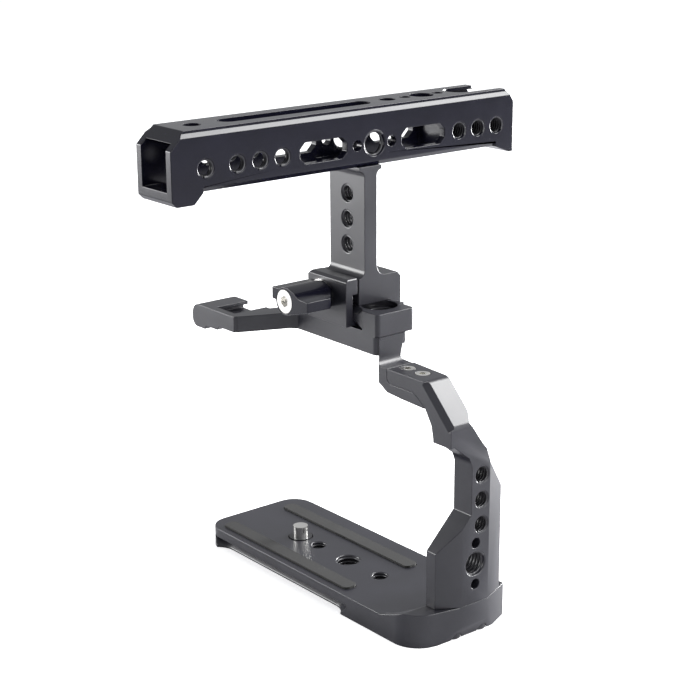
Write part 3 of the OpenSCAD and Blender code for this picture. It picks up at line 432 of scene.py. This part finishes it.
@dataclass
class Cage:
    """The fixed cage: base, side plate and top bar.

    Args:
        side_x: Inner face and outer face of the side plate, in millimetres.
        quarter_y: Place of the 1/4 inch row in the side plate.
        quarter_z: Heights of the 1/4 inch row.
        big_place: Y and Z of the 3/8 inch hole in the side plate.
        base_height: Height of the base's seat.
        base_x: Places of the base's holes, with the 3/8 inch one in the middle.
        rail_start: Bottom of the rail's 3/8 inch thread.
        rail_length: Length of that thread.
        inset: How far a thread stays inside each mouth.
    """

    side_x: tuple[float, float] = (79.5, 89.5)
    quarter_y: float = 8.8
    quarter_z: tuple[float, ...] = (45.2, 55.2, 65.2)
    big_place: tuple[float, float] = (6.0, 29.8)
    base_height: float = 9.2
    base_x: tuple[float, float, float] = (0.0, 20.0, 40.0)
    rail_start: tuple[float, float, float] = (35.9, 3.2, 110.6)
    rail_length: float = 7.6
    inset: float = 0.5

    def side_holes(self) -> list[Hole]:
        """Returns the threads of the side plate."""
        inner, outer = self.side_x
        start = inner + self.inset
        deep = outer - inner - 2 * self.inset
        holes = [Hole((start, self.quarter_y, z), Axis.X, deep) for z in self.quarter_z]
        holes.append(big_hole((start, *self.big_place), Axis.X, deep))
        return holes

    def base_holes(self) -> list[Hole]:
        """Returns the threads of the base."""
        left, middle, right = ((x, 0.0, self.inset) for x in self.base_x)
        deep = self.base_height - 2 * self.inset
        return [Hole(left, Axis.Z, deep), Hole(right, Axis.Z, deep), big_hole(middle, Axis.Z, deep)]

    def build(self, frame: dict, shop: Workshop, threads: ThreadTool) -> None:
        """Builds the cage's milled pieces and threads.

        Args:
            frame: The loaded frame.
            shop: The materials.
            threads: The thread tool.
        """
        for node in ("base_plate", "side_plate", "top_bar"):
            MilledPiece(node, "cage", "anodised", BODY_BLACK).build(frame, shop)
            LOG.info("milled %s", node)
        threads.piece("side_threads", self.side_holes(), "cage", "anodised")
        threads.piece("base_threads", self.base_holes(), "cage", "anodised")
        rail = [big_hole(self.rail_start, Axis.Z, self.rail_length)]
        threads.piece("rail_thread", rail, "cage", "anodised")


@dataclass
class Handle:
    """The top handle: grip, post and the fixed half of the clamp.

    Args:
        centre_x: Centre line of the grip, in millimetres.
        half_width: Half the grip's width.
        wall: Thickness of its side walls.
        centre_y: Place of the central hole.
        hole_z: Height of the side holes.
        side_steps: Places of the 1/4 inch side holes, from the central one.
        post_y: Rear and front face of the post.
        post_z: Heights of the post's holes.
        inset: How far a thread stays inside each mouth of the grip.
        post_inset: The same in the post.
    """

    centre_x: float = 22.4
    half_width: float = 11.0
    wall: float = 3.2
    centre_y: float = 3.3
    hole_z: float = 183.3
    side_steps: tuple[float, ...] = (-76.8, -63.2, -53.2, -43.2, 43.2, 53.2, 63.2)
    post_y: tuple[float, float] = (-1.5, 4.6)
    post_z: tuple[float, ...] = (143.1, 153.1, 163.1)
    inset: float = 0.3
    post_inset: float = 0.4

    def grip_holes(self) -> list[Hole]:
        """Returns the threads in both walls of the grip."""
        holes: list[Hole] = []
        rear = [self.centre_y + step for step in self.side_steps if step < 0]
        front = [self.centre_y + step for step in self.side_steps if step > 0]
        left = self.centre_x - self.half_width
        deep = self.wall - 2 * self.inset
        for face in (left, self.centre_x + self.half_width - self.wall):
            start = face + self.inset
            holes += [Hole((start, y, self.hole_z), Axis.X, deep) for y in rear]
            holes.append(big_hole((start, self.centre_y, self.hole_z), Axis.X, deep))
        # the front of the grip is solid, so its three threads run right through
        through = 2 * (self.half_width - self.inset)
        holes += [Hole((left + self.inset, y, self.hole_z), Axis.X, through) for y in front]
        return holes

    def post_holes(self) -> list[Hole]:
        """Returns the threads of the post."""
        rear, front = self.post_y
        start = rear + self.post_inset
        deep = front - rear - 2 * self.post_inset
        return [Hole((self.centre_x, start, z), Axis.Y, deep) for z in self.post_z]

    def build(self, frame: dict, shop: Workshop, threads: ThreadTool) -> None:
        """Builds grip and post.

        Args:
            frame: The loaded frame.
            shop: The materials.
            threads: The thread tool.
        """
        MilledPiece("handle_grip", "handle", "gloss_anodised", GRIP_BLACK).build(frame, shop)
        MilledPiece("handle_post", "handle", "anodised", BODY_BLACK).build(frame, shop)
        threads.piece("grip_threads", self.grip_holes(), "handle", "gloss_anodised")
        threads.piece("post_threads", self.post_holes(), "handle", "anodised")
        LOG.info("built the handle")


@dataclass
class Clamp:
    """The moving jaw and its lever.

    Args:
        jaw_edge: Width of the jaw's broken edges, in millimetres.
        lever_edge: Width of the lever's broken edges.
    """

    jaw_edge: float = 0.25
    lever_edge: float = 0.3

    def build(self, frame: dict, shop: Workshop) -> None:
        """Builds jaw and lever.

        Args:
            frame: The loaded frame.
            shop: The materials.
        """
        MilledPiece("clamp_jaw", "jaw", "anodised", BODY_BLACK, self.jaw_edge).build(frame, shop)
        MilledPiece("clamp_lever", "lever", "gloss_anodised", GRIP_BLACK, self.lever_edge).build(frame, shop)
        LOG.info("built the clamp")


PLAIN_NODES: dict[str, Finish] = {
    "rear_pad": RUBBER, "front_pad": RUBBER, "camera_screw": BRIGHT, "screw_ring": DARK,
    "base_dowels": BRIGHT, "base_screws": DARK, "arm_screws": BRIGHT, "post_screw": DARK,
    "post_pins": BRIGHT, "guide_pins": BRIGHT, "jaw_springs": DARK, "clamp_bolt": BRIGHT,
    "lever_key": BRIGHT, "lever_washer": BRIGHT,
}


@dataclass
class Studio:
    """White floor, soft lamps and the camera at the photograph's place.

    Args:
        eye: Camera position in millimetres.
        azimuth: View azimuth in degrees, 0 looks along +Y.
        elevation: View elevation in degrees.
        roll: Roll in degrees.
        lens: Focal length in millimetres.
        sensor: Width of the sensor in millimetres.
        middle: Point that the lamps look at, in metres.
        floor_half: Half the floor's side, in metres.
        even_light: Strength of the world's even light.
        burn: Glow of the floor where the camera sees it.
    """

    eye: tuple[float, float, float] = (518.0, -402.0, 295.2)
    azimuth: float = 50.98
    elevation: float = 17.01
    roll: float = -0.29
    lens: float = 87.02
    sensor: float = 36.0
    middle: tuple[float, float, float] = (0.02, 0.0, 0.11)
    floor_half: float = 6.0
    even_light: float = 0.55
    burn: float = 0.5

    def place_camera(self) -> None:
        """Places the camera."""
        turn, rise, tilt = (math.radians(v) for v in (self.azimuth, self.elevation, self.roll))
        back = Vector((math.sin(turn) * math.cos(rise), -math.cos(turn) * math.cos(rise), math.sin(rise)))
        level = Vector((math.cos(turn), math.sin(turn), 0.0))
        upright = back.cross(level)
        right = level * math.cos(tilt) + upright * math.sin(tilt)
        up = upright * math.cos(tilt) - level * math.sin(tilt)
        data = bpy.data.cameras.new("studio_camera")
        data.lens = self.lens
        data.sensor_width = self.sensor
        data.clip_start = 0.01
        camera = bpy.data.objects.new("studio_camera", data)
        facing = Matrix((right, up, back)).transposed().to_4x4()
        camera.matrix_world = Matrix.Translation(Vector(self.eye) * MM) @ facing
        bpy.context.scene.collection.objects.link(camera)
        bpy.context.scene.camera = camera

    def softbox(
        self, name: str, aim: tuple[float, float, float], far: float, size: float, power: float
    ) -> None:
        """Hangs a square lamp that looks at the object's middle.

        Args:
            name: Name of the lamp.
            aim: Direction from the object to the lamp.
            far: Distance in metres.
            size: Side length in metres.
            power: Power in watts.
        """
        data = bpy.data.lights.new(name, "AREA")
        data.shape = "SQUARE"
        data.size = size
        data.energy = power
        lamp = bpy.data.objects.new(name, data)
        way = Vector(aim).normalized()
        lamp.location = Vector(self.middle) + way * far
        lamp.rotation_euler = way.to_track_quat("Z", "Y").to_euler()
        bpy.context.scene.collection.objects.link(lamp)

    def floor(self) -> None:
        """Lays the pale floor, which runs out to a plain white distance."""
        work = bmesh.new()
        bmesh.ops.create_grid(work, x_segments=1, y_segments=1, size=self.floor_half)
        mesh = bpy.data.meshes.new("studio_floor")
        work.to_mesh(mesh)
        work.free()
        floor = bpy.data.objects.new("studio_floor", mesh)
        bpy.context.scene.collection.objects.link(floor)
        material = bpy.data.materials.new("floor_white")
        material.use_nodes = True
        shader = material.node_tree.nodes["Principled BSDF"]
        shader.inputs["Roughness"].default_value = 0.6
        shader.inputs["Specular IOR Level"].default_value = 0.2
        # burnt out where the camera sees it, and dimmer in the reflections that run past it
        nodes, links = material.node_tree.nodes, material.node_tree.links
        path = nodes.new("ShaderNodeLightPath")
        burn = nodes.new("ShaderNodeMath")
        burn.operation = "MULTIPLY"
        burn.inputs[1].default_value = self.burn
        links.new(path.outputs["Is Camera Ray"], burn.inputs[0])
        paper = nodes.new("ShaderNodeMix")
        paper.data_type = "RGBA"
        paper.inputs["A"].default_value = (0.93, 0.93, 0.94, 1.0)
        paper.inputs["B"].default_value = (0.40, 0.40, 0.42, 1.0)
        links.new(path.outputs["Is Glossy Ray"], paper.inputs["Factor"])
        links.new(paper.outputs["Result"], shader.inputs["Base Color"])
        shader.inputs["Emission Color"].default_value = (1.0, 1.0, 1.0, 1.0)
        links.new(burn.outputs[0], shader.inputs["Emission Strength"])
        put_on(floor, material)

    def sky(self) -> None:
        """Sets the world: even light, and paler where the camera sees it."""
        world = bpy.data.worlds.new("studio_world")
        bpy.context.scene.world = world
        world.use_nodes = True
        nodes, links = world.node_tree.nodes, world.node_tree.links
        light = nodes["Background"]
        light.inputs["Color"].default_value = (0.97, 0.98, 1.0, 1.0)
        light.inputs["Strength"].default_value = self.even_light
        white = nodes.new("ShaderNodeBackground")
        white.inputs["Strength"].default_value = 1.0
        path = nodes.new("ShaderNodeLightPath")
        mix = nodes.new("ShaderNodeMixShader")
        links.new(path.outputs["Is Camera Ray"], mix.inputs["Fac"])
        links.new(light.outputs["Background"], mix.inputs[1])
        links.new(white.outputs["Background"], mix.inputs[2])
        links.new(mix.outputs["Shader"], nodes["World Output"].inputs["Surface"])

    def build(self) -> None:
        """Builds the whole studio."""
        self.place_camera()
        self.floor()
        self.sky()
        self.softbox("front_top_lamp", (0.29, 0.60, 0.74), 1.1, 0.6, 18.0)
        self.softbox("front_low_lamp", (0.10, 1.0, -0.02), 1.0, 0.42, 48.0)
        self.softbox("rear_left_lamp", (-0.75, -0.6, 0.12), 1.3, 0.7, 20.0)
        self.softbox("right_lamp", (1.0, 0.15, 0.35), 1.3, 0.7, 8.0)
        bpy.context.scene.view_settings.view_transform = "Standard"


def main() -> None:
    """Builds every sub-assembly in order."""
    logging.basicConfig(level=logging.INFO, format="%(message)s")
    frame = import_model()
    Studio().build()
    shop = Workshop()
    for node, finish in PLAIN_NODES.items():
        put_on(frame["nodes"][node], shop.get(finish))
    threads = ThreadTool(shop.get(THREAD_BLACK))
    Cage().build(frame, shop, threads)
    Handle().build(frame, shop, threads)
    Clamp().build(frame, shop)
    LOG.info("sizes written")


if __name__ == "__main__":
    main()
